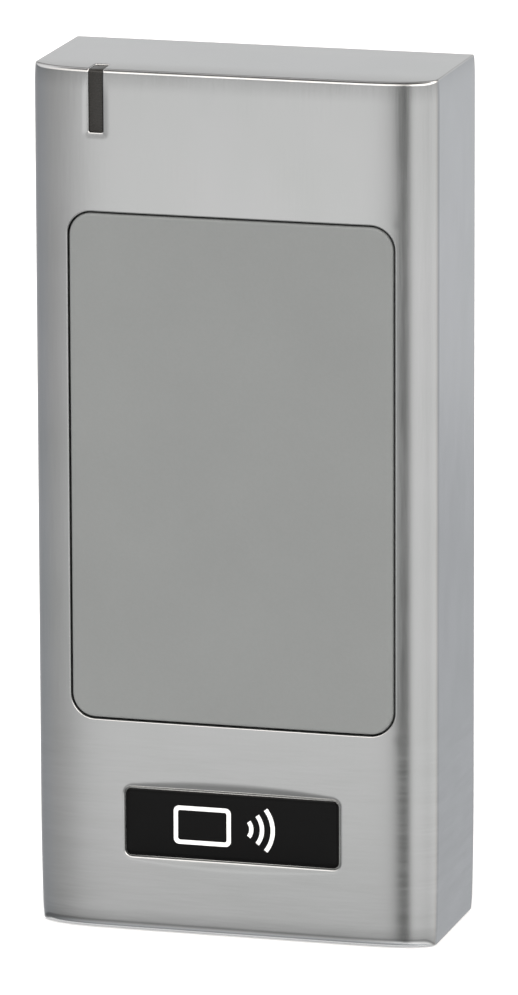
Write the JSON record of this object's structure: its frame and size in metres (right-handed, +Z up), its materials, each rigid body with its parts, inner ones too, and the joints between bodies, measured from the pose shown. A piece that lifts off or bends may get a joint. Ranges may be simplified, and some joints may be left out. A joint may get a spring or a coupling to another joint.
{
  "type": "rfid card reader",
  "caption": "Wall-mounted contactless card reader: slim satin metal housing with rolled long edges, flush window panel and light pipe, hooked over a steel wall plate and locked from below.",
  "frame": {"origin": "centre of the wall screw pattern, on the wall plane at the rear face of the mounting plate and of the housing", "axes": "+Z up along the height, +Y into the wall, +X to the viewer's right seen from the front"},
  "size_m": [0.067, 0.0282, 0.1424],
  "materials": {
    "zinc_sheet": "zinc plated sheet",
    "satin_metal": "satin brushed",
    "window_plastic": "fine matte",
    "seal_rubber": "matte",
    "smoked_plastic": "smoked gloss",
    "black_gloss": "gloss",
    "white_ink": "printed",
    "natural_nylon": "matte",
    "copper_winding": "enamelled",
    "green_laminate": "solder mask",
    "zinc_screws": "zinc plated",
    "chip_black": "moulded",
    "can_metal": "satin",
    "passive_ceramic": "matte",
    "moulded_black": "matte",
    "led_lens": "clear",
    "connector_white": "matte",
    "gold_pins": "gold plated",
    "spring_steel": "drawn wire",
    "plunger_white": "matte",
    "cover_black": "textured",
    "insert_brass": "knurled",
    "stainless_screw": "turned"
  },
  "bodies": {
    "wall_bracket": {"wall_plate": "zinc_sheet"},
    "reader": {"housing": "satin_metal", "window_panel": "window_plastic", "window_gasket": "seal_rubber", "light_pipe": "smoked_plastic", "nameplate": "black_gloss", "nameplate_symbol": "white_ink", "coil_former": "natural_nylon", "antenna_coil": "copper_winding", "main_board": "green_laminate", "board_screws": "zinc_screws", "microcontroller": "chip_black", "rf_chip": "chip_black", "voltage_regulator": "chip_black", "crystal": "can_metal", "electrolytic_capacitors": "can_metal", "smd_passives": "passive_ceramic", "buzzer": "moulded_black", "status_leds": "led_lens", "led_shroud": "moulded_black", "cable_connector": "connector_white", "connector_pins": "gold_pins", "tamper_switch": "moulded_black", "tamper_spring": "spring_steel", "back_cover": "cover_black", "cover_seal": "seal_rubber", "cover_screws": "zinc_screws", "cable_grommet": "seal_rubber", "lock_insert": "insert_brass"},
    "tamper_pin": {"tamper_plunger": "plunger_white"},
    "lock_travel": {"lock_screw_seal": "seal_rubber"},
    "lock_turn": {"lock_screw": "stainless_screw"}
  },
  "joints": [
    {"name": "housing_swing", "type": "hinge", "parent": "wall_bracket", "child": "reader", "pos_m": [0, 0, 0.07125], "axis": [-1, 0, 0], "range_deg": [0, 20]},
    {"name": "tamper_press", "type": "slide", "parent": "reader", "child": "tamper_pin", "axis": [0, -1, 0], "range_m": [0, 0.0016], "stiffness_N_per_m": 400, "springref_m": -0.001, "deforming": ["tamper_spring"]},
    {"name": "lock_screw_travel", "type": "slide", "parent": "reader", "child": "lock_travel", "axis": [0, 0, 1], "range_m": [0, 0.0035]},
    {"name": "lock_screw_turn", "type": "hinge", "parent": "lock_travel", "child": "lock_turn", "pos_m": [0, -0.006, -0.0664], "axis": [0, 0, 1], "range_deg": [0, 1805]}
  ],
  "couplings": [
    {"joint": "lock_screw_turn", "follows": "lock_screw_travel", "rad_per_m": 8976}
  ]
}
